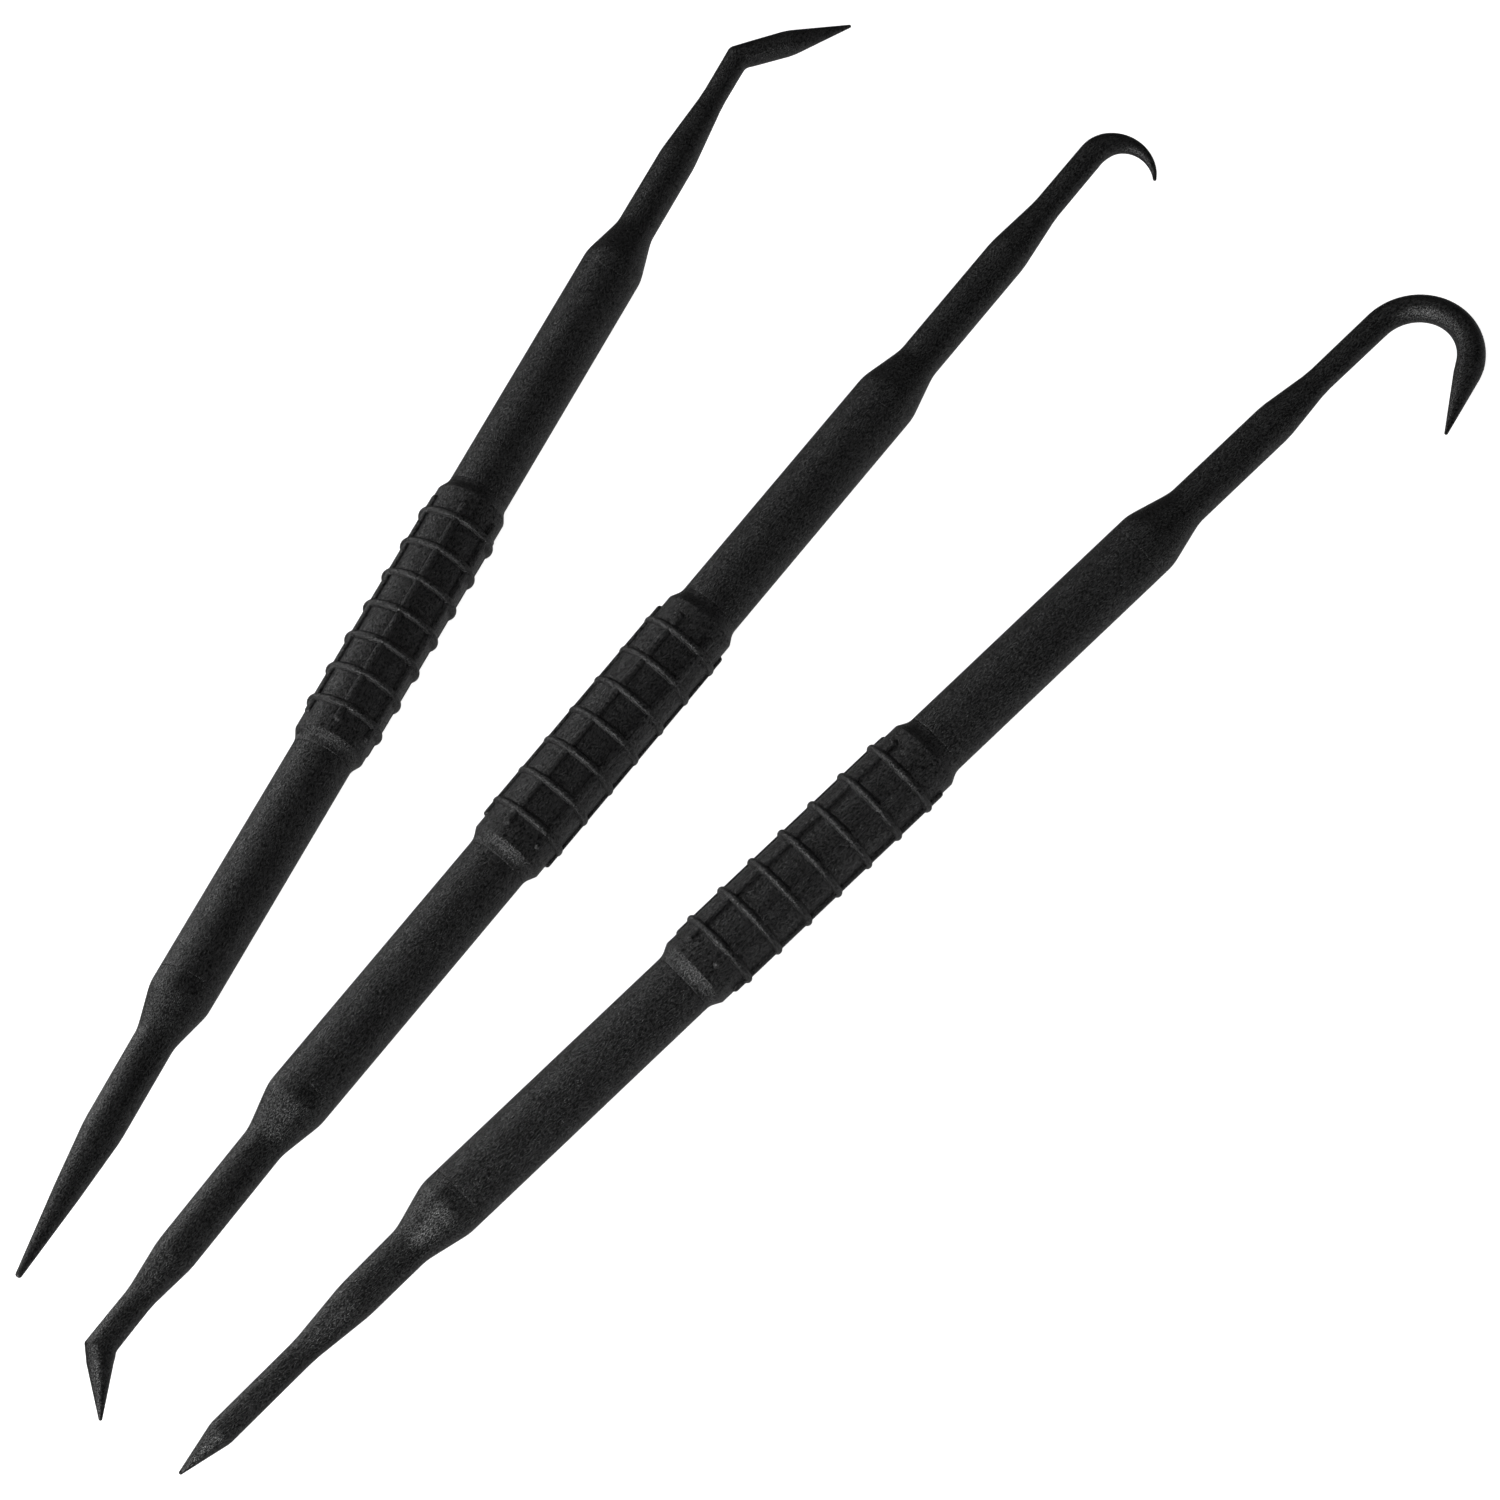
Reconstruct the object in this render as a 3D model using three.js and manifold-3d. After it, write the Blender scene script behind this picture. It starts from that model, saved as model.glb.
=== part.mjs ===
// A set of three double-ended nylon hook and pick tools, lying side by side in a fan.
// Millimetres, +Z up. The set lies on z = 0, and X runs along the middle tool.
import * as THREE from 'three';
import { mergeVertices } from 'three/addons/utils/BufferGeometryUtils.js';
import Module from 'manifold-3d';

const wasm = await Module();
wasm.setup();

// Handle, the same on all three tools
const SHAFT_RADIUS = 4.75;
const HANDLE_LENGTH = 129.8;
const SEAT_RADIUS = 3.8;
const SOCKET_RADIUS = 2.3;
const SOCKET_DEPTH = 14;
const SPIGOT_RADIUS = 2.0;
const SPIGOT_LENGTH = 13;
const FIT_GAP = 0.3;

// Grip sleeve moulded into the seat at the middle of the shaft
const SLEEVE_HALF_LENGTH = 24.3;
const SLEEVE_BORE_RADIUS = 4.1;
const PANEL_RADIUS = 5.6;
const COLLAR_HALF_LENGTH = 22.0;
const RING_COUNT = 7;
const RING_PITCH = 5.756;
const RING_RADIUS = 6.3;
const RING_BASE_WIDTH = 1.3;
const RING_CREST_WIDTH = 0.5;
const BAR_COUNT = 6;
const BAR_RADIUS = 6.1;
const BAR_WIDTH = 1.35;
const BAR_HALF_LENGTH = 20.1;
const BAR_ROOT_RADIUS = 5.0;

// Each tip starts with a short full-width land, then a shoulder that narrows to its neck.
// SHOULDER holds [distance, share of the way from the shaft's radius to the neck's].
const TIP_LAND = 1.8;
const SHOULDER_LENGTH = 8.4;
const SHOULDER = [
  [0, 0],
  [1.1, 0.05],
  [2.3, 0.195],
  [7.1, 0.905],
  [SHOULDER_LENGTH, 1],
];
const POINT_RADIUS = 0.22;

const HANDLE_SIDES = 24;
const TIP_SIDES = 16;
const CURVE_STEP_DEG = 12;
const KNEE_STEPS = 4;

const COLOURS = { shaft: 0x1b1b1c, grip: 0x1d1d1e, tip: 0x19191a };
const ROUGHNESS = { shaft: 0.6, grip: 0.64, tip: 0.5 };

const rad = THREE.MathUtils.degToRad;

// ---------- solids ----------

// Closed three.js geometry to a manifold solid
function toSolid(geometry) {
  geometry.deleteAttribute('normal');
  geometry.deleteAttribute('uv');
  const merged = mergeVertices(geometry, 1e-4);
  const position = merged.attributes.position;
  const source = merged.index.array;
  const triangles = [];
  let volume = 0;
  const a = new THREE.Vector3();
  const b = new THREE.Vector3();
  const c = new THREE.Vector3();
  for (let i = 0; i < source.length; i += 3) {
    const [p, q, r] = [source[i], source[i + 1], source[i + 2]];
    if (p === q || q === r || r === p) continue;
    triangles.push(p, q, r);
    a.fromBufferAttribute(position, p);
    b.fromBufferAttribute(position, q);
    c.fromBufferAttribute(position, r);
    volume += a.dot(b.cross(c));
  }
  if (volume < 0) {
    for (let i = 0; i < triangles.length; i += 3) {
      [triangles[i], triangles[i + 1]] = [triangles[i + 1], triangles[i]];
    }
  }
  const mesh = new wasm.Mesh({
    numProp: 3,
    vertProperties: new Float32Array(position.array),
    triVerts: new Uint32Array(triangles),
  });
  return new wasm.Manifold(mesh);
}

function toGeometry(solid) {
  const { vertProperties, triVerts } = solid.getMesh();
  const geometry = new THREE.BufferGeometry();
  geometry.setAttribute('position', new THREE.BufferAttribute(new Float32Array(vertProperties), 3));
  geometry.setIndex(new THREE.BufferAttribute(new Uint32Array(triVerts), 1));
  geometry.computeVertexNormals();
  return geometry;
}

// Turned solid about the X axis from [x, radius] pairs
function turned(profile, sides, startAngle = 0) {
  const points = profile.map(([x, r]) => new THREE.Vector2(r, x));
  const lathe = new THREE.LatheGeometry(points, sides, startAngle, Math.PI * 2);
  lathe.rotateZ(-Math.PI / 2);
  return lathe;
}

function material(kind) {
  return new THREE.MeshStandardMaterial({
    color: COLOURS[kind],
    roughness: ROUGHNESS[kind],
    metalness: 0,
  });
}

// ---------- handle ----------

// The sleeve is centred on x = 0, and offset is how far the shaft's middle lies from it
function shaftSolid(startAngle, offset) {
  const seat = SLEEVE_HALF_LENGTH + FIT_GAP;
  const upper = offset + HANDLE_LENGTH / 2 - FIT_GAP;
  const lower = offset - HANDLE_LENGTH / 2 + FIT_GAP;
  const profile = [
    [lower + SOCKET_DEPTH, 0],
    [lower + SOCKET_DEPTH, SOCKET_RADIUS],
    [lower, SOCKET_RADIUS],
    [lower, SHAFT_RADIUS],
    [-seat, SHAFT_RADIUS],
    [-seat, SEAT_RADIUS],
    [seat, SEAT_RADIUS],
    [seat, SHAFT_RADIUS],
    [upper, SHAFT_RADIUS],
    [upper, SOCKET_RADIUS],
    [upper - SOCKET_DEPTH, SOCKET_RADIUS],
    [upper - SOCKET_DEPTH, 0],
  ];
  return toSolid(turned(profile, HANDLE_SIDES, startAngle));
}

// Sleeve with two filleted end steps and seven raised rings
function sleeveProfile() {
  const endStep = [
    [SLEEVE_HALF_LENGTH, SHAFT_RADIUS],
    [23.6, 4.85],
    [23.0, 5.09],
    [22.15, 5.57],
    [COLLAR_HALF_LENGTH, PANEL_RADIUS],
  ];
  const profile = [[-SLEEVE_HALF_LENGTH, SLEEVE_BORE_RADIUS]];
  for (const [x, r] of endStep) profile.push([-x, r]);
  for (let i = 0; i < RING_COUNT; i += 1) {
    const centre = (i - (RING_COUNT - 1) / 2) * RING_PITCH;
    profile.push([centre - RING_BASE_WIDTH / 2, PANEL_RADIUS]);
    profile.push([centre - RING_CREST_WIDTH / 2, RING_RADIUS]);
    profile.push([centre + RING_CREST_WIDTH / 2, RING_RADIUS]);
    profile.push([centre + RING_BASE_WIDTH / 2, PANEL_RADIUS]);
  }
  for (const [x, r] of endStep.reverse()) profile.push([x, r]);
  profile.push([SLEEVE_HALF_LENGTH, SLEEVE_BORE_RADIUS]);
  profile.push([-SLEEVE_HALF_LENGTH, SLEEVE_BORE_RADIUS]);
  return profile;
}

// One raised bar with round ends, standing up along +Z from the sleeve wall
function barGeometry() {
  const half = BAR_WIDTH / 2;
  const straight = BAR_HALF_LENGTH - half;
  const outline = new THREE.Shape();
  outline.moveTo(-straight, -half);
  outline.lineTo(straight, -half);
  outline.absarc(straight, 0, half, -Math.PI / 2, Math.PI / 2, false);
  outline.lineTo(-straight, half);
  outline.absarc(-straight, 0, half, Math.PI / 2, Math.PI * 1.5, false);
  const bar = new THREE.ExtrudeGeometry(outline, {
    depth: BAR_RADIUS - BAR_ROOT_RADIUS,
    bevelEnabled: false,
    curveSegments: 3,
  });
  bar.translate(0, 0, BAR_ROOT_RADIUS);
  return bar;
}

function sleeveSolid(startAngle, firstBarDeg) {
  let sleeve = toSolid(turned(sleeveProfile(), HANDLE_SIDES, startAngle));
  for (let i = 0; i < BAR_COUNT; i += 1) {
    const bar = barGeometry();
    bar.rotateX(rad(firstBarDeg + (i * 360) / BAR_COUNT));
    sleeve = sleeve.add(toSolid(bar));
  }
  return sleeve;
}

// ---------- tips ----------

// One place on a centre line. across points over to the outer side of the rod, as a multiple of its radius.
function station(s, x, y, heading, across) {
  const square = new THREE.Vector2(-Math.sin(heading), Math.cos(heading));
  return { s, x, y, heading, across: across ?? square };
}

// Centre line of a tip in the XY plane, from the start of its land, with the shoulder at s = 0.
// Each part of tip.line is { straight }, a bend { radius, turn } or a knee { outer, inner, rod, turn }.
// Bends and knees turn towards -Y. A knee has its own outer and inner corner radius on a rod of radius rod.
function centreLine(tip) {
  const stations = [station(-TIP_LAND, -TIP_LAND, 0, 0), station(0, 0, 0, -rad(tip.lean))];
  for (const part of tip.line) {
    const last = stations[stations.length - 1];
    if (part.straight !== undefined) {
      const x = last.x + part.straight * Math.cos(last.heading);
      const y = last.y + part.straight * Math.sin(last.heading);
      stations.push(station(last.s + part.straight, x, y, last.heading));
      continue;
    }
    const knee = part.outer !== undefined;
    const radius = knee ? (part.outer + part.inner) / 2 : part.radius;
    const steps = knee ? KNEE_STEPS : Math.ceil(part.turn / CURVE_STEP_DEG);
    const centreX = last.x + radius * Math.sin(last.heading);
    const centreY = last.y - radius * Math.cos(last.heading);
    const middle = station(0, 0, 0, last.heading - rad(part.turn) / 2).across;
    if (knee) stations.pop();
    for (let i = knee ? 0 : 1; i <= steps; i += 1) {
      const angle = rad((part.turn * i) / steps);
      const heading = last.heading - angle;
      const x = centreX - radius * Math.sin(heading);
      const y = centreY + radius * Math.cos(heading);
      const at = station(last.s + radius * angle, x, y, heading);
      if (knee) {
        const skew = (part.inner - part.outer) / 2 / part.rod;
        const reach = (1 + skew) / Math.cos(rad(part.turn) / 2);
        at.across = middle.clone().multiplyScalar(reach).addScaledVector(at.across, -skew);
      }
      stations.push(at);
    }
  }
  return stations;
}

// Station at distance s along a centre line
function stationAt(stations, s) {
  let i = 0;
  while (i < stations.length - 2 && stations[i + 1].s < s) i += 1;
  const from = stations[i];
  const to = stations[i + 1];
  const t = (s - from.s) / (to.s - from.s);
  const x = from.x + (to.x - from.x) * t;
  const y = from.y + (to.y - from.y) * t;
  const heading = from.heading + (to.heading - from.heading) * t;
  return station(s, x, y, heading, from.across.clone().lerp(to.across, t));
}

// Radius at distance s from a list of [distance, radius]
function radiusAt(sizes, s) {
  for (let i = 1; i < sizes.length; i += 1) {
    const [s0, r0] = sizes[i - 1];
    const [s1, r1] = sizes[i];
    if (s <= s1) return r0 + ((r1 - r0) * (s - s0)) / (s1 - s0);
  }
  return sizes[sizes.length - 1][1];
}

// Straight turned rod laid along the tip's centre line. Its neck is set over towards -Y by drop.
function bentRod(tip) {
  const stations = centreLine(tip);
  const length = stations[stations.length - 1].s;
  const shoulder = SHOULDER.map(([s, share]) => [s, SHAFT_RADIUS + share * (tip.neck - SHAFT_RADIUS)]);
  const sizes = [[-TIP_LAND, SHAFT_RADIUS], ...shoulder, ...tip.sizes, [length, POINT_RADIUS]];
  const marks = new Set();
  for (const place of stations) marks.add(place.s);
  for (const [s] of sizes) marks.add(s);
  const ordered = [...marks].sort((a, b) => a - b);
  const kept = ordered.filter((s, i) => i === 0 || s - ordered[i - 1] > 0.05);
  const profile = [[-TIP_LAND, 0]];
  for (const s of kept) profile.push([s, radiusAt(sizes, s)]);
  profile.push([kept[kept.length - 1], 0]);
  const rod = turned(profile, TIP_SIDES, Math.PI / TIP_SIDES);
  const position = rod.attributes.position;
  for (let i = 0; i < position.count; i += 1) {
    const s = position.getX(i);
    const side = position.getY(i);
    const at = stationAt(stations, s);
    const sunk = tip.drop * THREE.MathUtils.clamp(s / SHOULDER_LENGTH, 0, 1);
    position.setX(i, at.x + side * at.across.x);
    position.setY(i, at.y + side * at.across.y - sunk);
  }
  return rod;
}

// Tip piece in its own frame: the shoulder starts at x = 0 and the spigot runs along -X
function tipSolid(tip) {
  const spigot = turned(
    [
      [-TIP_LAND - SPIGOT_LENGTH, 0],
      [-TIP_LAND - SPIGOT_LENGTH, SPIGOT_RADIUS],
      [0, SPIGOT_RADIUS],
      [0, 0],
    ],
    TIP_SIDES,
  );
  return toSolid(bentRod(tip)).add(toSolid(spigot));
}

// All distances run from the start of the shoulder. Tips lean towards their hooked side.
const TIPS = {
  bent: {
    lean: 0,
    drop: 0,
    neck: 2.97,
    line: [{ straight: 41.9 }, { outer: 1.0, inner: 1.8, rod: 1.9, turn: 44.5 }, { straight: 18.05 }],
    sizes: [[22.4, 2.9], [33.9, 1.86], [50.9, 2.0]],
  },
  longPoint: {
    lean: 0.6,
    drop: 0,
    neck: 3.04,
    line: [{ straight: 48.3 }],
    sizes: [[23.6, 3.01], [33.9, 2.06], [47.95, 0.5]],
  },
  smallHook: {
    lean: 0,
    drop: 0,
    neck: 3.08,
    line: [{ straight: 49.75 }, { radius: 5.3, turn: 145 }],
    sizes: [[29.6, 3.08], [38.75, 2.02], [51.5, 1.98]],
  },
  angledPoint: {
    lean: 1.2,
    drop: 0.13,
    neck: 3.08,
    line: [{ straight: 44.1 }, { outer: 0.5, inner: 1.6, rod: 2.15, turn: 39.2 }, { straight: 9.9 }],
    sizes: [[28.0, 3.06], [35.6, 2.07], [43.0, 2.15], [46.2, 2.13]],
  },
  largeHook: {
    lean: 0,
    drop: 0,
    neck: 2.97,
    line: [{ straight: 45.9 }, { radius: 7.75, turn: 153 }, { straight: 10.6 }],
    sizes: [[25.6, 2.96], [33.9, 1.9], [66.6, 2.05]],
  },
  shortPoint: {
    lean: 1.3,
    drop: 0.18,
    neck: 3.02,
    line: [{ straight: 51.8 }],
    sizes: [[18.5, 2.92], [28.1, 1.95], [44.0, 1.94]],
  },
};

// roll turns a tool about its own length until its hooked side rests near the table.
// bars is the direction of the first grip bar, from the hook plane's normal, and offset is how far
// the middle of the handle lies from the middle of its grip, towards the upper tip.
const TOOLS = [
  {
    name: 'bent_pick_tool',
    upper: ['bent_tip', TIPS.bent],
    lower: ['long_point_tip', TIPS.longPoint],
    roll: 27,
    bars: 5,
    offset: 0.55,
    place: [0.2, 45.3],
    fan: 12.87,
  },
  {
    name: 'small_hook_tool',
    upper: ['hook_tip', TIPS.smallHook],
    lower: ['angled_tip', TIPS.angledPoint],
    roll: 37,
    bars: -23,
    offset: -1.6,
    place: [0, 0],
    fan: 0,
  },
  {
    name: 'large_hook_tool',
    upper: ['hook_tip', TIPS.largeHook],
    lower: ['short_point_tip', TIPS.shortPoint],
    roll: 16.2,
    bars: -21,
    offset: -1.55,
    place: [-2.2, -44.9],
    fan: -9.13,
  },
];

// ---------- assembly ----------

const set = new THREE.Group();

function addPiece(parent, name, solid, kind) {
  const mesh = new THREE.Mesh(toGeometry(solid), material(kind));
  mesh.name = name;
  parent.add(mesh);
  return mesh;
}

for (const tool of TOOLS) {
  const lying = new THREE.Group();
  lying.position.set(tool.place[0], tool.place[1], RING_RADIUS * Math.cos(Math.PI / HANDLE_SIDES));
  lying.rotation.z = rad(tool.fan);
  const rolled = new THREE.Group();
  rolled.rotation.x = rad(tool.roll);
  lying.add(rolled);

  // Facets are turned so that one faces straight down once the tool is rolled
  const startAngle = Math.PI - rad(tool.roll) + Math.PI / HANDLE_SIDES;
  addPiece(rolled, `${tool.name}_shaft`, shaftSolid(startAngle, tool.offset), 'shaft');
  addPiece(rolled, `${tool.name}_grip_sleeve`, sleeveSolid(startAngle, tool.bars), 'grip');

  const upper = addPiece(rolled, `${tool.name}_${tool.upper[0]}`, tipSolid(tool.upper[1]), 'tip');
  upper.position.x = tool.offset + HANDLE_LENGTH / 2 + TIP_LAND;

  const lower = addPiece(rolled, `${tool.name}_${tool.lower[0]}`, tipSolid(tool.lower[1]), 'tip');
  lower.position.x = tool.offset - HANDLE_LENGTH / 2 - TIP_LAND;
  lower.rotation.order = 'ZXY';
  lower.rotation.set(Math.PI, 0, Math.PI);
  set.add(lying);
}

// The origin is the middle of the set's outline, on the table
set.updateMatrixWorld(true);
const outline = new THREE.Box3().setFromObject(set, true);
const middle = outline.getCenter(new THREE.Vector3());
set.position.set(-middle.x, -middle.y, -outline.min.z);

export default set;
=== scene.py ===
"""Three double-ended nylon hook and pick tools, lying in a fan on a white table."""
import math

import bpy
import numpy as np
from mathutils import Matrix, Vector


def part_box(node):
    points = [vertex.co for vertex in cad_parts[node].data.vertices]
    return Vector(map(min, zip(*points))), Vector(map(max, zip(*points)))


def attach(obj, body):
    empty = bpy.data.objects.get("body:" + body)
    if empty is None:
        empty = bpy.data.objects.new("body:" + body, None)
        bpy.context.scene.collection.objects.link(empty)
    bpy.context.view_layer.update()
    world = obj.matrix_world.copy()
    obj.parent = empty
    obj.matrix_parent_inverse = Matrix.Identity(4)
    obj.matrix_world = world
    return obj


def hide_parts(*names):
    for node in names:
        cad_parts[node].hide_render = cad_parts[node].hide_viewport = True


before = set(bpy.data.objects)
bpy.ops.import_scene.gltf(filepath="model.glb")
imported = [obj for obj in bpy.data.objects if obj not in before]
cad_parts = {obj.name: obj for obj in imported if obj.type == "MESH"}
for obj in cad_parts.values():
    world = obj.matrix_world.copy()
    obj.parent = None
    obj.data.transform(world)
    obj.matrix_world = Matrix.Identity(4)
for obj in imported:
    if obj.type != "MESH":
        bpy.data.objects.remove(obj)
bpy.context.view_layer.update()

MM = 0.001

# ---------- sizes in millimetres ----------------------------------------------

SHAFT_RADIUS = 4.75
HANDLE_LENGTH = 129.8
SEAT_RADIUS = 3.8
SOCKET_RADIUS = 2.3
SOCKET_DEPTH = 14.0
SPIGOT_RADIUS = 2.0
SPIGOT_LENGTH = 13.0
SEAM = 0.03

SLEEVE_HALF_LENGTH = 24.3
SLEEVE_BORE_RADIUS = 4.1
PANEL_RADIUS = 5.6
RING_COUNT = 7
RING_PITCH = 5.756
RING_HEIGHT = 0.665
RING_HALF_WIDTH = 0.62
BAR_COUNT = 6
BAR_HEIGHT = 0.5
BAR_HALF_WIDTH = 0.67
BAR_HALF_LENGTH = 20.1
BAR_STEP = 2 * math.pi / BAR_COUNT
BAR_MIDDLE_RADIUS = PANEL_RADIUS + BAR_HEIGHT / 2
CROSSING_BLEND = 0.05
# (distance from the sleeve's middle, radius) of the panels and of the step down to the shaft
COLLAR = [
    (0, PANEL_RADIUS),
    (21.98, PANEL_RADIUS),
    (22.05, 5.585),
    (22.12, 5.555),
    (22.8, 5.21),
    (23.1, 5.05),
    (23.4, 4.92),
    (23.7, 4.83),
    (24.0, 4.775),
    (SLEEVE_HALF_LENGTH, SHAFT_RADIUS),
]

# The shafts' and tips' outer edges at a joint are broken by this much, so a seam shows as a fine line.
BROKEN_EDGE = 0.04

# Each tip starts with a full-width land, then a shoulder that narrows to its neck. SHOULDER holds
# (distance, share of the way from the shaft's radius to the neck's).
TIP_LAND = 1.8
SHOULDER_LENGTH = 8.4
SHOULDER = [
    (0, 0),
    (0.55, 0.01),
    (1.1, 0.045),
    (1.65, 0.105),
    (2.3, 0.195),
    (3.2, 0.33),
    (6.3, 0.79),
    (7.1, 0.9),
    (7.7, 0.965),
    (SHOULDER_LENGTH, 1),
]
POINT_RADIUS = 0.22
POINT_CAP = 0.3

AXIS_RADIUS = 0.02
SHAFT_SIDES = 128
TIP_SIDES = 64
STRAIGHT_STEP = 0.6
KNEE_STEPS = 6
# straight stations this close to a knee are left out, because the knee's own rings are wide and slanted
KNEE_CLEAR = 1.25

# Distances run from the start of the shoulder. lean (degrees) and drop set a tip over towards its hooked
# side. line holds ("straight", length), ("arc", radius, turn) and ("knee", outer corner's radius, inner
# corner's radius, turn). sizes holds (distance, radius) between the neck and the point.
BENT_TIP = {
    "lean": 0,
    "drop": 0,
    "neck": 2.97,
    "line": [("straight", 41.9), ("knee", 1.2, 1.7, 44.5), ("straight", 17.95)],
    "sizes": [
        (21.8, 2.92), (23.1, 2.84), (32.9, 1.95), (34.9, 1.86),
        (41.0, 1.87), (44.5, 1.97), (50.2, 2.02), (51.5, 1.93),
    ],
}
LONG_POINT_TIP = {
    "lean": 0.6,
    "drop": 0,
    "neck": 3.04,
    "line": [("straight", 48.3)],
    "sizes": [(22.7, 3.02), (24.3, 2.95), (33.9, 2.06), (38.0, 1.6), (43.9, 0.95), (47.95, 0.5)],
}
SMALL_HOOK_TIP = {
    "lean": 0,
    "drop": 0,
    "neck": 3.08,
    "line": [("straight", 49.75), ("arc", 5.3, 145)],
    "sizes": [(28.9, 3.08), (30.3, 3.0), (37.9, 2.11), (39.4, 2.02), (51.1, 1.98), (52.5, 1.85)],
}
ANGLED_TIP = {
    "lean": 1.2,
    "drop": 0.13,
    "neck": 3.08,
    "line": [("straight", 44.1), ("knee", 0.5, 1.6, 39.2), ("straight", 9.85)],
    "sizes": [(27.4, 3.06), (28.6, 2.99), (34.9, 2.16), (36.3, 2.08), (45.2, 2.15), (45.7, 2.1)],
}
LARGE_HOOK_TIP = {
    "lean": 0,
    "drop": 0,
    "neck": 2.97,
    "line": [("straight", 45.9), ("arc", 7.75, 153), ("straight", 10.6)],
    "sizes": [(24.9, 2.96), (26.4, 2.87), (33.0, 2.01), (34.7, 1.91), (66.1, 2.04), (67.5, 1.93)],
}
SHORT_POINT_TIP = {
    "lean": 1.3,
    "drop": 0.18,
    "neck": 3.02,
    "line": [("straight", 51.8)],
    "sizes": [(17.9, 2.93), (19.2, 2.86), (27.3, 2.02), (29.1, 1.95), (43.7, 1.95), (44.3, 1.89)],
}

TOOLS = [
    {
        "body": "bent_pick_tool",
        "upper": ("bent_tip", BENT_TIP),
        "lower": ("long_point_tip", LONG_POINT_TIP),
        "roll": 27.0,
        "bars": 5.0,
        "offset": 0.55,
        "fan": 12.87,
    },
    {
        "body": "small_hook_tool",
        "upper": ("hook_tip", SMALL_HOOK_TIP),
        "lower": ("angled_tip", ANGLED_TIP),
        "roll": 37.0,
        "bars": -23.0,
        "offset": -1.6,
        "fan": 0.0,
    },
    {
        "body": "large_hook_tool",
        "upper": ("hook_tip", LARGE_HOOK_TIP),
        "lower": ("short_point_tip", SHORT_POINT_TIP),
        "roll": 16.2,
        "bars": -21.0,
        "offset": -1.55,
        "fan": -9.13,
    },
]


# ---------- mesh helpers ----------


def smoothstep(t):
    """Goes from 0 to 1 as t does, and starts and ends level."""
    t = np.clip(t, 0.0, 1.0)
    return t * t * (3.0 - 2.0 * t)


def rings_to_mesh(name, rings, tube=False):
    """A closed mesh from rings of points, all with the same number of points. Its two ends get flat
    caps, or in a tube the last ring joins the first."""
    count = len(rings[0])
    total = len(rings)
    faces = []
    for i in range(total if tube else total - 1):
        n = (i + 1) % total
        for j in range(count):
            k = (j + 1) % count
            faces.append((i * count + j, i * count + k, n * count + k, n * count + j))
    if not tube:
        last = (total - 1) * count
        faces.append(tuple(range(count - 1, -1, -1)))
        faces.append(tuple(range(last, last + count)))
    mesh = bpy.data.meshes.new(name)
    mesh.from_pydata([tuple(point) for ring in rings for point in ring], [], faces)
    mesh.update()
    mesh.shade_smooth()
    made = bpy.data.objects.new(name, mesh)
    bpy.context.scene.collection.objects.link(made)
    return made


def circle(x, radius, sides):
    """Points of a circle about the X axis, counted from +Z towards -Y."""
    angles = np.arange(sides) * 2 * math.pi / sides
    return np.stack([np.full(sides, x), -radius * np.sin(angles), radius * np.cos(angles)], axis=1)


def place(made, matrix):
    """Moves a piece's mesh, in millimetres, to its place in the set, in metres. Each point keeps its
    place along and across the piece, in millimetres, for the grain of the material."""
    points = np.empty(len(made.data.vertices) * 3, dtype=np.float32)
    made.data.vertices.foreach_get("co", points)
    grain = made.data.attributes.new("grain_place", "FLOAT_VECTOR", "POINT")
    grain.data.foreach_set("vector", points)
    made.data.transform(matrix @ Matrix.Scale(MM, 4))
    made.data.update()


# ---------- pieces ----------


def broken_edge(x, outward):
    """The outer edge of a rod's end face at x, from the face to the rod's surface. outward is 1 or -1,
    the way that the face looks."""
    return [
        (x, SHAFT_RADIUS - BROKEN_EDGE),
        (x - 0.3 * BROKEN_EDGE * outward, SHAFT_RADIUS - 0.3 * BROKEN_EDGE),
        (x - BROKEN_EDGE * outward, SHAFT_RADIUS),
    ]


def socket_end(x, outward):
    """Half section of the shaft's end at x, from the bottom of its blind socket to its surface."""
    bottom = x - SOCKET_DEPTH * outward
    return [
        (bottom, AXIS_RADIUS),
        (bottom, SOCKET_RADIUS - 0.05),
        (bottom + 0.05 * outward, SOCKET_RADIUS),
        (x - 0.3 * outward, SOCKET_RADIUS),
        (x - 0.02 * outward, SOCKET_RADIUS + 0.2),
        (x, SOCKET_RADIUS + 0.3),
        (x, SHAFT_RADIUS - BROKEN_EDGE - 0.1),
    ] + broken_edge(x, outward)


def seat_end(side):
    """Half section of one end of the seat under the sleeve, from the seat to the shaft's surface."""
    x = side * (SLEEVE_HALF_LENGTH + SEAM)
    return [(x - 0.05 * side, SEAT_RADIUS), (x, SEAT_RADIUS + 0.05)] + broken_edge(x, -side)


def shaft(name, offset):
    """Round rod with a seat under the sleeve and a blind socket in each end. offset is how far its
    middle lies from the middle of the sleeve."""
    low = offset - HANDLE_LENGTH / 2 + SEAM
    high = offset + HANDLE_LENGTH / 2 - SEAM
    margin = 0.3
    seat = SLEEVE_HALF_LENGTH + SEAM + margin
    profile = socket_end(low, -1)
    profile += [(x, SHAFT_RADIUS) for x in np.linspace(low + margin, -seat, 24)]
    profile += seat_end(-1)[::-1] + [(0.0, SEAT_RADIUS)] + seat_end(1)
    profile += [(x, SHAFT_RADIUS) for x in np.linspace(seat, high - margin, 24)]
    profile += socket_end(high, 1)[::-1]
    return rings_to_mesh(name, [circle(x, r, SHAFT_SIDES) for x, r in profile])


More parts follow.
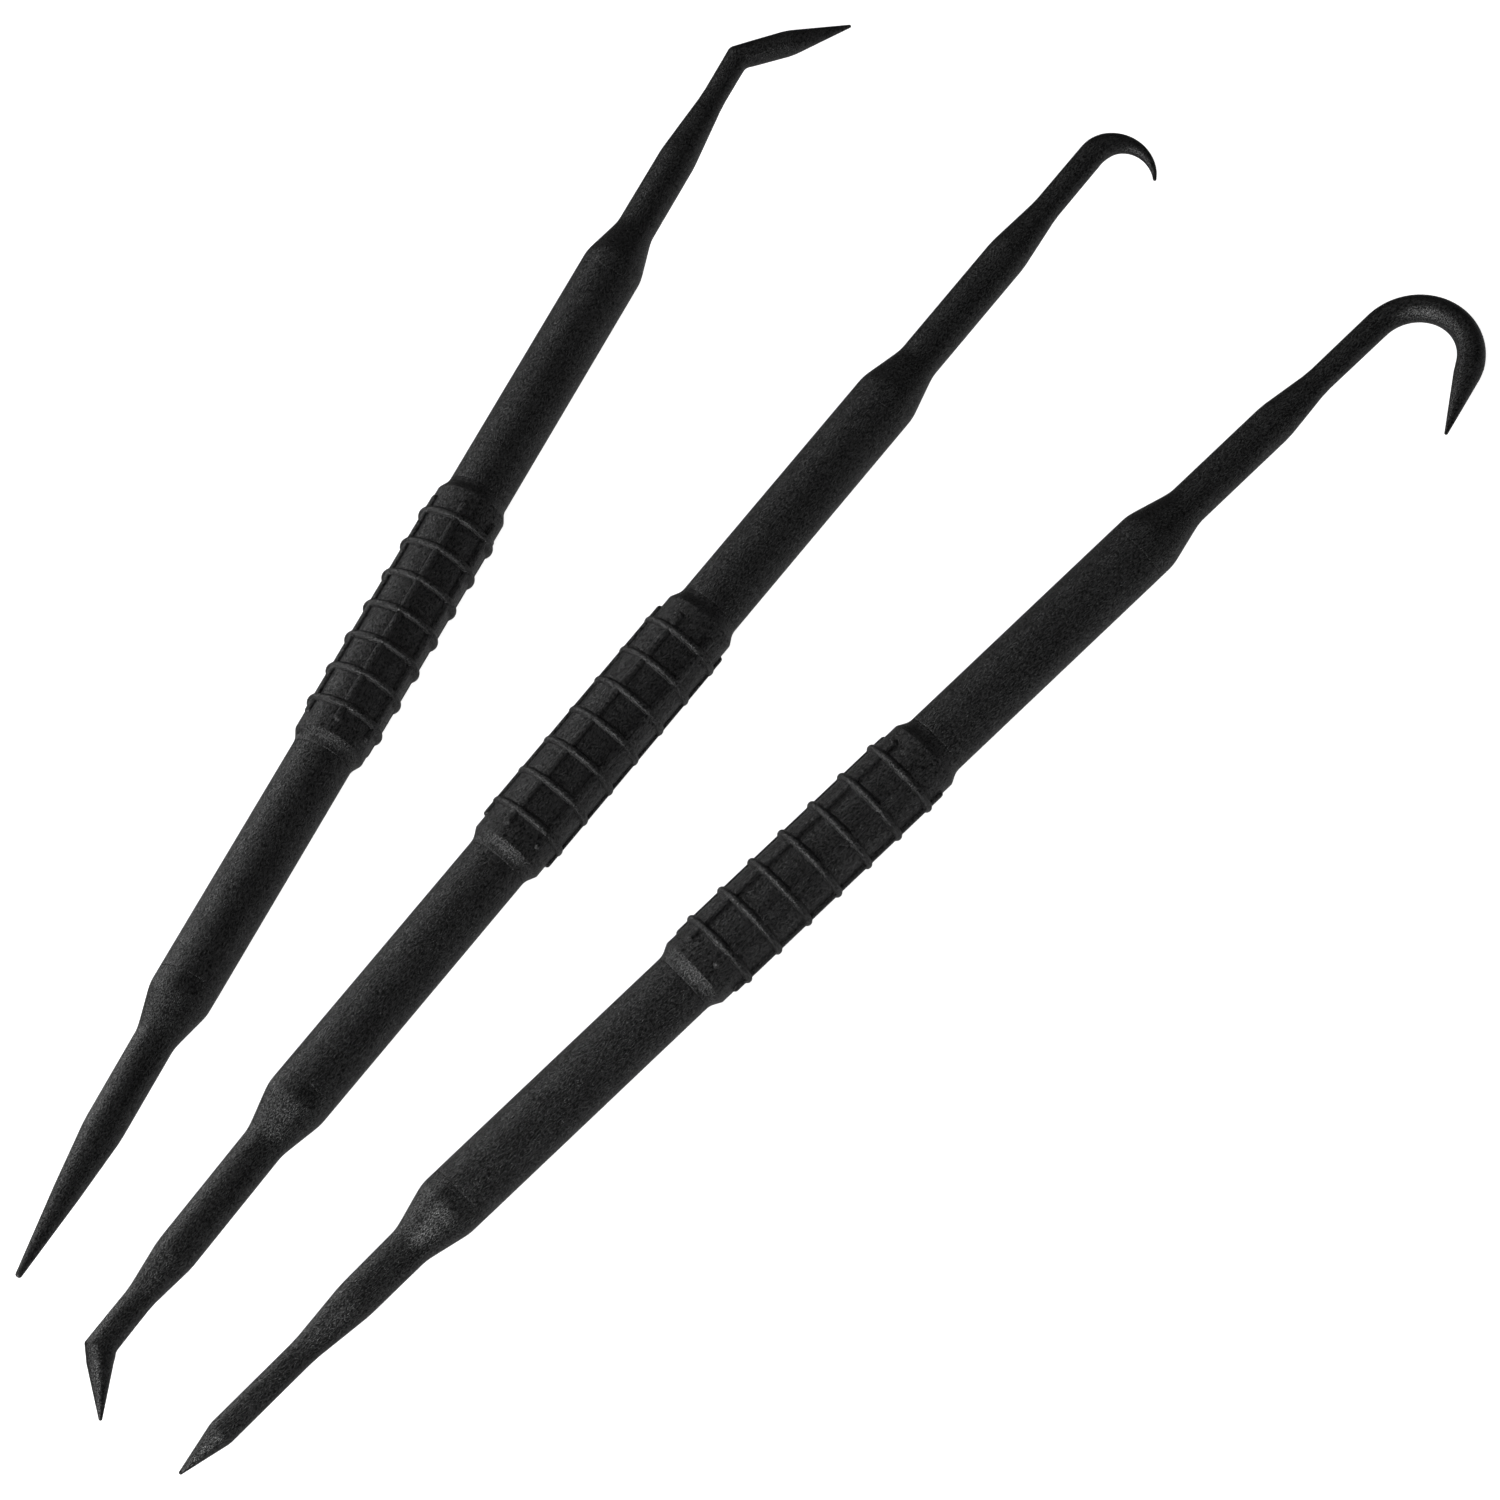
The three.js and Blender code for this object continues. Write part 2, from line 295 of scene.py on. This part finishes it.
def sleeve_height(x, angles, bars):
    """Radii of the sleeve's outside at a place along it, for angles counted from the hook plane's normal."""
    reach = abs(x)
    base = np.interp(reach, [d for d, _ in COLLAR], [r for _, r in COLLAR])
    last_ring = (RING_COUNT - 1) / 2
    nearest = np.clip(np.round(x / RING_PITCH), -last_ring, last_ring) * RING_PITCH
    off = abs(x - nearest)
    ring = RING_HEIGHT * math.sqrt(max(1.0 - (off / RING_HALF_WIDTH) ** 2.2, 0.0))
    turn = (angles - math.radians(bars) + BAR_STEP / 2) % BAR_STEP - BAR_STEP / 2
    across = turn * BAR_MIDDLE_RADIUS
    beyond = max(reach - (BAR_HALF_LENGTH - BAR_HALF_WIDTH), 0.0)
    outside = np.hypot(beyond, across) / BAR_HALF_WIDTH
    bar = BAR_HEIGHT * np.maximum(1.0 - outside**3, 0.0) ** 0.45
    # the higher of the two, with a small fillet where a ring crosses a bar
    both = 0.5 * (ring + bar + np.sqrt((ring - bar) ** 2 + CROSSING_BLEND**2)) - CROSSING_BLEND / 2
    return base + np.maximum(both, 0.0)


def sleeve_stations():
    """Places along the sleeve for its rings of points, close together where the outside curves."""
    xs = set()
    for i in range(RING_COUNT):
        centre = (i - (RING_COUNT - 1) / 2) * RING_PITCH
        for off in (0.0, 0.12, 0.23, 0.33, 0.42, 0.49, 0.54, 0.58, 0.605, RING_HALF_WIDTH, 0.66, 0.75, 0.95):
            xs.update((round(centre - off, 4), round(centre + off, 4)))
        if i < RING_COUNT - 1:
            for part in (0.3, 0.4, 0.5, 0.6, 0.7):
                xs.add(round(centre + part * RING_PITCH, 4))
    bar_ends = list(np.arange(19.28, 20.2, 0.07)) + [18.6, 18.9, 19.1, 20.3, 20.6, 21.0, 21.4, 21.8]
    for x in bar_ends:
        xs.update((round(x, 4), round(-x, 4)))
    step_starts = [21.93, 21.98, 22.02, 22.05, 22.12, 22.25, 22.5, 22.8]
    step_slope = [22.95, 23.1, 23.25, 23.4, 23.55, 23.7, 23.85, 24.0, 24.15, SLEEVE_HALF_LENGTH]
    for x in step_starts + step_slope:
        xs.update((x, -x))
    return sorted(xs)


def sleeve_angles(bars):
    """Angles round the sleeve for its points, close together on and beside each bar."""
    per_bar = []
    for across in (0.0, 0.22, 0.38, 0.48, 0.55, 0.6, 0.635, 0.66, 0.675, 0.72, 0.82):
        turn = across / BAR_MIDDLE_RADIUS
        per_bar += [turn, -turn] if across else [0.0]
    inner = 1.0 / BAR_MIDDLE_RADIUS
    per_bar += list(np.linspace(inner, BAR_STEP - inner, 9))
    per_bar = sorted(turn % BAR_STEP for turn in per_bar)
    angles = [math.radians(bars) + i * BAR_STEP + turn for i in range(BAR_COUNT) for turn in per_bar]
    return np.array(sorted(angle % (2 * math.pi) for angle in angles))


def sleeve(name, bars):
    """Grip sleeve: seven ring ribs over six round-ended bars, with a stepped collar at each end. bars is
    the angle of the first bar, in degrees."""
    angles = sleeve_angles(bars)
    bore = np.full(len(angles), SLEEVE_BORE_RADIUS)
    outside = [(x, sleeve_height(x, angles, bars)) for x in sleeve_stations()]
    inside = [
        (SLEEVE_HALF_LENGTH, bore + 0.2),
        (SLEEVE_HALF_LENGTH - 0.1, bore),
        (0.0, bore),
        (-SLEEVE_HALF_LENGTH + 0.1, bore),
        (-SLEEVE_HALF_LENGTH, bore + 0.2),
    ]
    rings = []
    for x, radii in outside + inside:
        along = np.full(len(angles), x)
        rings.append(np.stack([along, -radii * np.sin(angles), radii * np.cos(angles)], axis=1))
    return rings_to_mesh(name, rings, tube=True)


def radius_at(spec, length, s):
    """Radius of a tip at distance s from the start of its shoulder."""
    shoulder = [(d, SHAFT_RADIUS + share * (spec["neck"] - SHAFT_RADIUS)) for d, share in SHOULDER]
    sizes = np.array(shoulder + spec["sizes"] + [(length, POINT_RADIUS)])
    return float(np.interp(s, sizes[:, 0], sizes[:, 1]))


def bend_radius(part):
    """Radius of the centre line in a bend: an arc's own, or the mean of a knee's two corners."""
    return sum(part[1:-1]) / len(part[1:-1])


def part_length(part):
    """Length of one part of a tip's centre line."""
    return part[1] if part[0] == "straight" else math.radians(part[-1]) * bend_radius(part)


def within(s, spans, margin):
    """Whether s lies in one of the (start, end) spans, each made longer by the margin at both ends."""
    return any(low - margin < s < high + margin for low, high in spans)


def straight_stations(part, s, x, y, heading):
    """Stations of a straight part that starts at distance s, at x and y."""
    steps = max(2, round(part[1] / STRAIGHT_STEP))
    stations = []
    for i in range(1, steps + 1):
        d = part[1] * i / steps
        stations.append((s + d, x + d * math.cos(heading), y + d * math.sin(heading), heading, 0.0, 0.0))
    return stations


def bend_stations(spec, length, part, s, x, y, heading):
    """Stations of an arc or a knee. A knee's rings all turn about its two corners, so they slant and
    widen towards the corner, as a mitre does."""
    knee = part[0] == "knee"
    turn = math.radians(part[-1])
    radius = bend_radius(part)
    steps = KNEE_STEPS if knee else max(4, round(part[-1] / 3.0))
    cx = x + radius * math.sin(heading)
    cy = y - radius * math.cos(heading)
    stations = []
    for i in range(0 if knee else 1, steps + 1):
        a = heading - turn * i / steps
        at = s + radius * turn * i / steps
        wx, wy = 0.0, 0.0
        if knee:
            outer, inner = part[1:3]
            middle = heading - turn / 2
            extra = (inner - outer) / 2
            reach = (radius_at(spec, length, at) + extra) / math.cos(turn / 2)
            wx = -reach * math.sin(middle) + extra * math.sin(a)
            wy = reach * math.cos(middle) - extra * math.cos(a)
        stations.append((at, cx - radius * math.sin(a), cy + radius * math.cos(a), a, wx, wy))
    return stations


def centre_line(spec):
    """Stations of a tip from the far end of its spigot: distance, x, y, heading, and then the half width
    as a vector in the plane of the tip, which is zero outside a knee. Bends turn towards -Y. Also gives
    the knees' (start, end) distances and the distance of the point."""
    length = sum(part_length(part) for part in spec["line"])
    start = -TIP_LAND - SPIGOT_LENGTH
    stations = [
        (start, start, 0.0, 0.0, 0.0, 0.0),
        (-0.6, -0.6, 0.0, 0.0, 0.0, 0.0),
        (0.0, 0.0, 0.0, -math.radians(spec["lean"]), 0.0, 0.0),
    ]
    knees = []
    for part in spec["line"]:
        s, x, y, heading = stations[-1][:4]
        if part[0] == "straight":
            stations += straight_stations(part, s, x, y, heading)
        else:
            stations += bend_stations(spec, length, part, s, x, y, heading)
        if part[0] == "knee":
            knees.append((s, s + part_length(part)))
    kept = [st for st in stations if st[4] or st[5] or not within(st[0], knees, KNEE_CLEAR)]
    return np.array(kept), knees, length


def ring_marks(spec, line, knees, length):
    """Distances for a tip's rings of points: the line's stations, every 0.3 mm of the shoulder and the
    ends of each taper, at least 0.1 mm apart."""
    marks = set(np.round(line[:, 0], 4)) | set(np.round(np.arange(0.0, 9.6, 0.3), 4))
    marks |= {round(s, 4) for s, _ in spec["sizes"] if not within(s, knees, KNEE_CLEAR)}
    kept = []
    for s in sorted(marks):
        if -0.65 < s < length - POINT_CAP - 0.04 and (not kept or s - kept[-1] > 0.1):
            kept.append(s)
    return kept


def tip(name, spec):
    """Working end: spigot, land, shoulder, neck and point, swept along its centre line."""
    line, knees, length = centre_line(spec)
    start = -TIP_LAND
    profile = [
        (start - SPIGOT_LENGTH, AXIS_RADIUS),
        (start - SPIGOT_LENGTH, SPIGOT_RADIUS - 0.3),
        (start - SPIGOT_LENGTH + 0.3, SPIGOT_RADIUS),
        (start - 0.05, SPIGOT_RADIUS),
        (start, SPIGOT_RADIUS + 0.05),
        (start, SHAFT_RADIUS - BROKEN_EDGE - 0.1),
    ]
    profile += broken_edge(start, -1) + [(start + 0.25, SHAFT_RADIUS)]
    profile += [(s, radius_at(spec, length, s)) for s in ring_marks(spec, line, knees, length)]
    # the point is rounded, and its last ring stays just wider than nothing so that a small cap closes it
    cap_start = length - POINT_CAP
    cap_radius = radius_at(spec, length, cap_start)
    for i in range(7):
        a = math.pi / 2 * i / 6.3
        profile.append((cap_start + 0.28 * math.sin(a), cap_radius * math.cos(a)))

    angles = np.arange(TIP_SIDES) * 2 * math.pi / TIP_SIDES
    across = -np.sin(angles)
    rings = []
    for s, radius in profile:
        x, y, heading, wx, wy = (float(np.interp(s, line[:, 0], line[:, i])) for i in range(1, 6))
        if not within(s, knees, 0.001):
            wx = -radius * math.sin(heading)
            wy = radius * math.cos(heading)
        y -= spec["drop"] * float(smoothstep(s / SHOULDER_LENGTH))
        rings.append(np.stack([x + across * wx, y + across * wy, radius * np.cos(angles)], axis=1))
    return rings_to_mesh(name, rings)


# ---------- materials ----------

# usual low and high of the mixed grain, the value where it is lightest, and the share of it that is fine
GRAIN_LOW = 0.41
GRAIN_HIGH = 0.59
GRAIN_LIGHTEST = 0.62
FINE_SHARE = 0.88
BLACK = (0.001, 0.001, 0.0011)
# colour and reach of the painted glints: bright specks added to the base colour
PAINTED_GLINT_COLOR = (0.05, 0.05, 0.05)
PAINTED_GLINT_REACH = 0.17


def node(tree, kind, **inputs):
    """A shader node with the given input values. Spaces in an input's name are written as underscores."""
    made = tree.nodes.new(kind)
    for key, value in inputs.items():
        made.inputs[key.replace("_", " ")].default_value = value
    return made


def stretched(tree, x, y, z):
    """The place along and across the piece, scaled, as the input of a texture."""
    where = node(tree, "ShaderNodeAttribute")
    where.attribute_name = "grain_place"
    mapping = node(tree, "ShaderNodeMapping", Scale=(x, y, z))
    tree.links.new(where.outputs["Vector"], mapping.inputs["Vector"])
    return mapping.outputs["Vector"]


def ramp(tree, source, low, low_color, high, high_color):
    """A colour that goes from low_color to high_color as the source goes from low to high."""
    made = node(tree, "ShaderNodeValToRGB")
    first, last = made.color_ramp.elements
    first.position = low
    first.color = (*low_color, 1)
    last.position = high
    last.color = (*high_color, 1)
    tree.links.new(source, made.inputs["Fac"])
    return made.outputs["Color"]


def grain_range(tree, source, at_low, at_high):
    """A number that goes from at_low to at_high over the grain's usual values."""
    made = node(tree, "ShaderNodeMapRange", From_Min=GRAIN_LOW, From_Max=GRAIN_HIGH)
    made.inputs["To Min"].default_value = at_low
    made.inputs["To Max"].default_value = at_high
    tree.links.new(source, made.inputs["Value"])
    return made.outputs["Result"]


def nylon(name, light, rough, sheen, relief):
    """Black glass-filled nylon: a fine grain drawn out along the piece, soft mottling and glass specks,
    where the specks are painted glints, bright spots added to the colour. Where the grain is light it is
    also smoother and shinier. light is its lightest colour, rough and sheen are (low, high) roughness and
    specular level, and relief is its height in mm."""
    made = bpy.data.materials.new(name)
    made.use_nodes = True
    tree = made.node_tree
    link = tree.links.new
    shader = tree.nodes["Principled BSDF"]

    fine = node(tree, "ShaderNodeTexNoise", Scale=1.0, Detail=2.0, Roughness=0.75)
    link(stretched(tree, 2.4, 6.5, 6.5), fine.inputs["Vector"])
    broad = node(tree, "ShaderNodeTexNoise", Scale=1.0, Detail=3.0, Roughness=0.6)
    link(stretched(tree, 0.12, 0.5, 0.5), broad.inputs["Vector"])
    # spots for the painted glints of the glass specks
    painted_glint_spots = node(tree, "ShaderNodeTexVoronoi", Scale=1.0)
    link(stretched(tree, 1.6, 2.6, 2.6), painted_glint_spots.inputs["Vector"])

    broad_part = node(tree, "ShaderNodeMath")
    broad_part.operation = "MULTIPLY"
    broad_part.inputs[1].default_value = 1 - FINE_SHARE
    link(broad.outputs["Fac"], broad_part.inputs[0])
    grain = node(tree, "ShaderNodeMath")
    grain.operation = "MULTIPLY_ADD"
    grain.inputs[1].default_value = FINE_SHARE
    link(fine.outputs["Fac"], grain.inputs[0])
    link(broad_part.outputs[0], grain.inputs[2])

    tone = ramp(tree, grain.outputs[0], GRAIN_LOW, BLACK, GRAIN_LIGHTEST, light)
    # painted glints: bright specks added to the base colour
    painted_glint = ramp(tree, painted_glint_spots.outputs["Distance"], 0.0, PAINTED_GLINT_COLOR, PAINTED_GLINT_REACH, (0, 0, 0))
    add = node(tree, "ShaderNodeMix")
    add.data_type = "RGBA"
    add.blend_type = "ADD"
    add.inputs["Factor"].default_value = 1.0
    link(tone, add.inputs["A"])
    link(painted_glint, add.inputs["B"])
    link(add.outputs["Result"], shader.inputs["Base Color"])

    link(grain_range(tree, grain.outputs[0], sheen[0], sheen[1]), shader.inputs["Specular IOR Level"])
    link(grain_range(tree, grain.outputs[0], rough[1], rough[0]), shader.inputs["Roughness"])
    bump = node(tree, "ShaderNodeBump", Strength=1.0, Distance=relief * MM)
    link(fine.outputs["Fac"], bump.inputs["Height"])
    link(bump.outputs["Normal"], shader.inputs["Normal"])
    shader.inputs["IOR"].default_value = 1.5
    return made


MATERIALS = {
    "shaft_nylon": nylon(
        "shaft_nylon", light=(0.018, 0.018, 0.0183), rough=(0.25, 0.38), sheen=(0.15, 1.15), relief=0.12
    ),
    "grip_nylon": nylon(
        "grip_nylon", light=(0.019, 0.019, 0.0193), rough=(0.26, 0.4), sheen=(0.15, 1.15), relief=0.12
    ),
    "tip_nylon": nylon(
        "tip_nylon", light=(0.017, 0.017, 0.0173), rough=(0.22, 0.36), sheen=(0.15, 1.1), relief=0.09
    ),
}


# ---------- build ----------


def finish_piece(made, matrix, body, node_name, slot):
    """Puts a piece in its place, with its material, and says what it rides on and replaces."""
    place(made, matrix)
    made.data.materials.append(MATERIALS[slot])
    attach(made, body)
    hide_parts(node_name)


for tool in TOOLS:
    body = tool["body"]
    low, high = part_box(f"{body}_grip_sleeve")
    centre = (Vector(low) + Vector(high)) / 2
    lying = (
        Matrix.Translation(centre)
        @ Matrix.Rotation(math.radians(tool["fan"]), 4, "Z")
        @ Matrix.Rotation(math.radians(tool["roll"]), 4, "X")
    )
    rod = shaft(f"{body}_shaft_visual", tool["offset"])
    finish_piece(rod, lying, body, f"{body}_shaft", "shaft_nylon")
    grip = sleeve(f"{body}_grip_sleeve_visual", tool["bars"])
    finish_piece(grip, lying, body, f"{body}_grip_sleeve", "grip_nylon")

    reach = HANDLE_LENGTH / 2 + TIP_LAND
    ends = (
        (tool["upper"], tool["offset"] + reach, Matrix.Identity(4)),
        (tool["lower"], tool["offset"] - reach, Matrix.Rotation(math.pi, 4, "Y")),
    )
    for (part, spec), at, turned in ends:
        end = tip(f"{body}_{part}_visual", spec)
        end_place = lying @ Matrix.Translation((at * MM, 0, 0)) @ turned
        finish_piece(end, end_place, body, f"{body}_{part}", "tip_nylon")


# ---------- table ----------

TABLE_HALF_WIDTH = 3
TABLE_TOP = -0.0002

table_corners = [
    (x * TABLE_HALF_WIDTH, y * TABLE_HALF_WIDTH, TABLE_TOP) for x, y in ((-1, -1), (1, -1), (1, 1), (-1, 1))
]
table_mesh = bpy.data.meshes.new("table")
table_mesh.from_pydata(table_corners, [], [(0, 1, 2, 3)])
table_top = bpy.data.objects.new("table", table_mesh)
bpy.context.scene.collection.objects.link(table_top)
white = bpy.data.materials.new("white_table")
white.use_nodes = True
white_shader = white.node_tree.nodes["Principled BSDF"].inputs
white_shader["Base Color"].default_value = (0.9, 0.9, 0.9, 1)
white_shader["Roughness"].default_value = 0.9
white_shader["Specular IOR Level"].default_value = 0.1
# the table glows, so that it stays white under the tools, and they reflect the studio instead of it
white_shader["Emission Color"].default_value = (1, 1, 1, 1)
white_shader["Emission Strength"].default_value = 0.9
table_top.data.materials.append(white)
table_top.visible_glossy = False


# ---------- light ----------


def softbox(name, azimuth, elevation, distance, size, radiance):
    """Square area light facing the middle of the set. The angles are degrees, azimuth 0 along +X and 90
    along +Y. The size and distance are metres."""
    data = bpy.data.lights.new(name, "AREA")
    data.shape = "SQUARE"
    data.size = size
    data.energy = radiance * size * size * math.pi
    made = bpy.data.objects.new(name, data)
    turn = math.radians(azimuth)
    rise = math.radians(elevation)
    level = math.cos(rise)
    toward = Vector((level * math.cos(turn), level * math.sin(turn), math.sin(rise)))
    made.location = toward * distance
    made.rotation_euler = toward.to_track_quat("Z", "Y").to_euler()
    made.visible_camera = False
    bpy.context.scene.collection.objects.link(made)


# The left lights give the bright lower shoulders, collar slopes and ring flanks. The back ones give the
# light strip along each shaft's far side. Each call gives azimuth, elevation, distance, size, radiance.
softbox("left_softbox", -140, 27, 1.0, 0.28, 13.0)
softbox("low_left_softbox", -167, 14, 1.0, 0.25, 8.3)
softbox("far_left_softbox", 163, 14, 1.0, 0.34, 5.2)
softbox("high_left_softbox", 180, 56, 1.0, 0.25, 3.7)
softbox("upper_left_softbox", -165, 56, 1.0, 0.25, 3.7)
softbox("far_back_softbox", 150, 38, 1.0, 0.34, 1.0)
softbox("back_softbox", 92, 9, 1.0, 0.26, 3.0)
softbox("near_back_softbox", 100, 35, 0.4, 0.14, 2.3)
softbox("near_right_softbox", 70, 35, 0.4, 0.14, 1.9)
softbox("near_left_softbox", 130, 35, 0.4, 0.14, 1.0)
softbox("right_softbox", 0, 62, 1.0, 0.34, 0.4)
softbox("high_back_softbox", 140, 62, 1.0, 0.34, 0.35)

# (height of a direction, grey level) of the studio that the tools reflect, from below to straight up
STUDIO_GREYS = [(-0.6, 0.24), (-0.15, 0.03), (0.5, 0.05), (1.0, 0.12)]

world = bpy.data.worlds.new("studio")
world.use_nodes = True
sky = world.node_tree
lowest = STUDIO_GREYS[0][0]
highest = STUDIO_GREYS[-1][0]
direction = node(sky, "ShaderNodeTexCoord")
height = node(sky, "ShaderNodeSeparateXYZ")
sky.links.new(direction.outputs["Generated"], height.inputs["Vector"])
share = node(sky, "ShaderNodeMapRange", From_Min=lowest, From_Max=highest)
sky.links.new(height.outputs["Z"], share.inputs["Value"])
greys = node(sky, "ShaderNodeValToRGB")
greys.color_ramp.elements[0].color = (*[STUDIO_GREYS[0][1]] * 3, 1)
greys.color_ramp.elements[1].color = (*[STUDIO_GREYS[-1][1]] * 3, 1)
for level, grey in STUDIO_GREYS[1:-1]:
    stop = greys.color_ramp.elements.new((level - lowest) / (highest - lowest))
    stop.color = (grey, grey, grey, 1)
sky.links.new(share.outputs["Result"], greys.inputs["Fac"])
sky.links.new(greys.outputs["Color"], sky.nodes["Background"].inputs["Color"])
sky.nodes["Background"].inputs["Strength"].default_value = 1.0
bpy.context.scene.world = world
bpy.context.scene.view_settings.view_transform = "Standard"


# ---------- camera ----------

# Metres from the middle of the small hook tool's sleeve, and the directions that show as right and up.
# The lens and sensor are in millimetres.
CAMERA_OFFSET = Vector((-0.20240, -0.57836, 0.63372))
CAMERA_RIGHT = Vector((0.62032, -0.68055, -0.38994)).normalized()
CAMERA_UP = Vector((0.74585, 0.35798, 0.56175)).normalized()
LENS = 147.912
SENSOR_WIDTH = 36.0

camera_data = bpy.data.cameras.new("camera")
camera_data.sensor_width = SENSOR_WIDTH
camera_data.lens = LENS
camera = bpy.data.objects.new("camera", camera_data)
bpy.context.scene.collection.objects.link(camera)
bpy.context.scene.camera = camera

sleeve_low, sleeve_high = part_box("small_hook_tool_grip_sleeve")
camera_place = (Vector(sleeve_low) + Vector(sleeve_high)) / 2 + CAMERA_OFFSET
camera_back = CAMERA_RIGHT.cross(CAMERA_UP).normalized()
square_up = camera_back.cross(CAMERA_RIGHT)
camera_turn = Matrix((CAMERA_RIGHT, square_up, camera_back)).transposed().to_4x4()
camera.matrix_world = Matrix.Translation(camera_place) @ camera_turn
